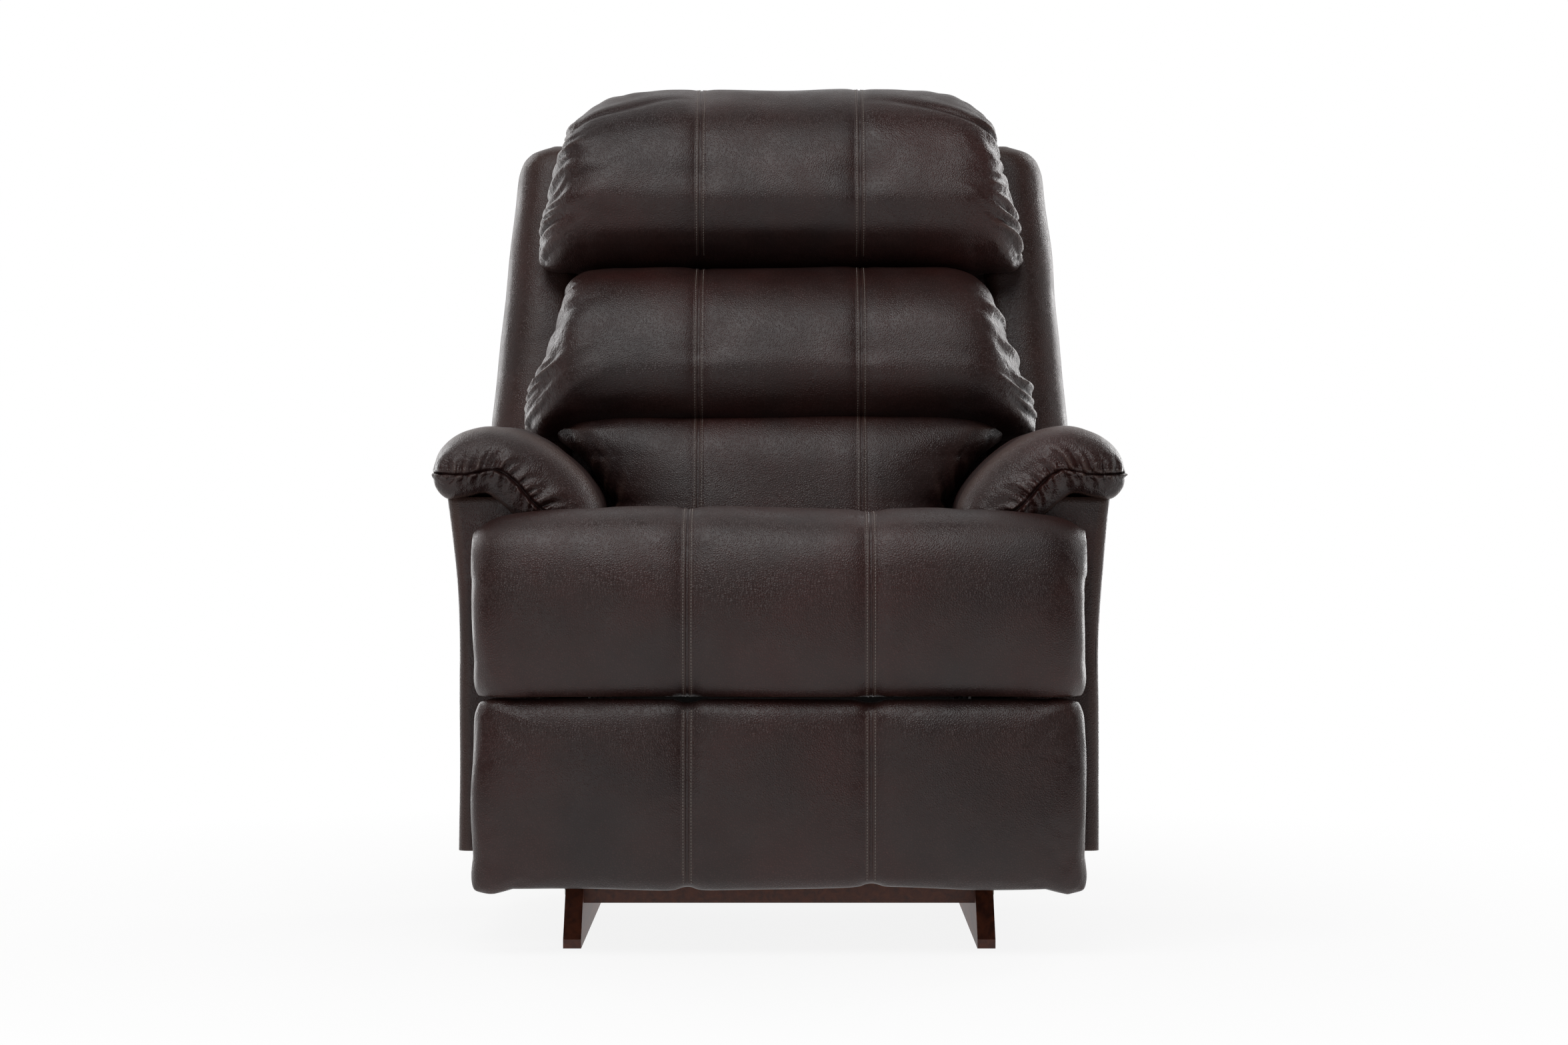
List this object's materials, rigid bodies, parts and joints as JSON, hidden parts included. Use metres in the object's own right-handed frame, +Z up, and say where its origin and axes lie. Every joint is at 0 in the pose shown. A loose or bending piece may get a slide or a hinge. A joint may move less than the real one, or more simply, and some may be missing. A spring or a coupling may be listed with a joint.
{
  "type": "rocker recliner",
  "caption": "Padded leather rocker recliner with gathered head and lumbar pillows, wide arm pads, a fold-out legrest and curved rockers on wooden floor runners.",
  "frame": {"origin": "on the floor, at the middle of the width and of the depth", "axes": "+Z up, the chair faces -Y, +X towards the left arm of a sitter"},
  "size_m": [0.8648, 0.9849, 1.1184],
  "materials": {
    "leather": "satin",
    "runner_wood": "satin",
    "frame_wood": "matte",
    "black_steel": "satin",
    "spring_steel": "satin",
    "zinc_fastener": "satin",
    "brown_plastic": "matte",
    "cable_sleeve": "satin"
  },
  "bodies": {
    "base": {"left_runner": "runner_wood", "right_runner": "runner_wood", "front_cross_rail": "runner_wood", "rear_cross_rail": "runner_wood", "base_screws": "zinc_fastener", "rocker_springs": "spring_steel", "lower_spring_brackets": "black_steel"},
    "carriage": {"arm_dowels": "frame_wood"},
    "chassis": {"left_rocker_cam": "runner_wood", "right_rocker_cam": "runner_wood", "left_side_plate": "black_steel", "right_side_plate": "black_steel", "upper_spring_brackets": "black_steel", "mount_rails": "frame_wood", "cross_stretchers": "black_steel", "left_arm_panel": "frame_wood", "right_arm_panel": "frame_wood", "arm_front_boards": "frame_wood", "arm_rear_boards": "frame_wood", "arm_top_boards": "frame_wood", "left_arm_cover": "leather", "right_arm_cover": "leather", "left_arm_pad": "leather", "right_arm_pad": "leather", "rear_cross_board": "frame_wood", "rear_cover": "leather", "back_hinge_brackets": "black_steel", "mechanism_bolts": "zinc_fastener", "release_bezel": "brown_plastic", "release_cable": "cable_sleeve"},
    "release": {"release_paddle": "brown_plastic"},
    "seat": {"seat_side_rails": "frame_wood", "seat_front_rail": "frame_wood", "seat_rear_rail": "frame_wood", "seat_springs": "spring_steel", "seat_cushion": "leather", "seat_brackets": "black_steel"},
    "front_links": {"front_swing_links": "black_steel"},
    "rear_links": {"rear_swing_links": "black_steel"},
    "back": {"back_left_upright": "frame_wood", "back_right_upright": "frame_wood", "back_top_rail": "frame_wood", "back_bottom_rail": "frame_wood", "back_springs": "spring_steel", "left_wing": "leather", "right_wing": "leather", "outer_back": "leather", "head_pillow": "leather", "lumbar_pillow": "leather", "lower_back_cushion": "leather"},
    "legrest_swing": {"drive_rod": "black_steel", "swing_arms": "black_steel"},
    "legrest_guide": {"guide_arms": "black_steel"},
    "legrest_carrier": {"carrier_links": "black_steel"},
    "legrest_coupler": {"coupler_links": "black_steel"},
    "legrest": {"legrest_board": "frame_wood", "legrest_cushion": "leather", "legrest_brackets": "black_steel"}
  },
  "joints": [
    {"name": "rock_roll", "type": "slide", "parent": "base", "child": "carriage", "axis": [0, 1, 0], "range_m": [-0.0469, 0.0668]},
    {"name": "rock", "type": "hinge", "parent": "carriage", "child": "chassis", "pos_m": [0, 0.025, 0.4753], "axis": [-1, 0, 0], "range_deg": [-7, 10], "stiffness_Nm_per_rad": 400, "springref_deg": -1.2, "deforming": ["rocker_springs"]},
    {"name": "back_recline", "type": "hinge", "parent": "chassis", "child": "back", "pos_m": [0, 0.2255, 0.345], "axis": [-1, 0, 0], "range_deg": [0, 40], "stiffness_Nm_per_rad": 60, "springref_deg": -8.59},
    {"name": "seat_front_link", "type": "hinge", "parent": "chassis", "child": "front_links", "pos_m": [0, -0.06, 0.325], "axis": [-1, 0, 0], "range_deg": [-0.5, 24.5]},
    {"name": "seat_rear_link", "type": "hinge", "parent": "chassis", "child": "rear_links", "pos_m": [0, 0.06, 0.325], "axis": [-1, 0, 0], "range_deg": [-0.5, 24.5]},
    {"name": "seat_hanger", "type": "hinge", "parent": "front_links", "child": "seat", "pos_m": [0, -0.06, 0.235], "axis": [-1, 0, 0], "range_deg": [-24.5, 0.5]},
    {"name": "legrest_extend", "type": "hinge", "parent": "chassis", "child": "legrest_swing", "pos_m": [0, -0.205, 0.312], "axis": [-1, 0, 0], "range_deg": [0, 60]},
    {"name": "legrest_guide_pivot", "type": "hinge", "parent": "chassis", "child": "legrest_guide", "pos_m": [0, -0.25241, 0.34877], "axis": [-1, 0, 0], "range_deg": [-0.5, 60.5]},
    {"name": "legrest_elbow", "type": "hinge", "parent": "legrest_swing", "child": "legrest_carrier", "pos_m": [0, -0.19106, 0.07741], "axis": [-1, 0, 0], "range_deg": [-60.5, 0.5]},
    {"name": "legrest_panel_pivot", "type": "hinge", "parent": "legrest_carrier", "child": "legrest", "pos_m": [0, -0.4007, 0.24], "axis": [-1, 0, 0], "range_deg": [-0.5, 83.5]},
    {"name": "legrest_coupler_pivot", "type": "hinge", "parent": "legrest_guide", "child": "legrest_coupler", "pos_m": [0, -0.24114, 0.1591], "axis": [-1, 0, 0], "range_deg": [-62.05, 0.5]},
    {"name": "release_pull", "type": "hinge", "parent": "chassis", "child": "release", "pos_m": [-0.3895, -0.125, 0.36], "axis": [0, 1, 0], "range_deg": [0, 30], "stiffness_Nm_per_rad": 0.25, "springref_deg": -11.46}
  ],
  "couplings": [
    {"joint": "rock_roll", "follows": "rock", "m_per_rad": 0.38},
    {"joint": "seat_front_link", "follows": "back_recline", "ratio": 0.6},
    {"joint": "seat_rear_link", "follows": "back_recline", "ratio": 0.6},
    {"joint": "seat_hanger", "follows": "back_recline", "ratio": -0.6},
    {"joint": "legrest_guide_pivot", "follows": "legrest_extend", "ratio": 1},
    {"joint": "legrest_elbow", "follows": "legrest_extend", "ratio": -1},
    {"joint": "legrest_panel_pivot", "follows": "legrest_extend", "ratio": 1.3833},
    {"joint": "legrest_coupler_pivot", "follows": "legrest_extend", "ratio": -1.0258}
  ]
}
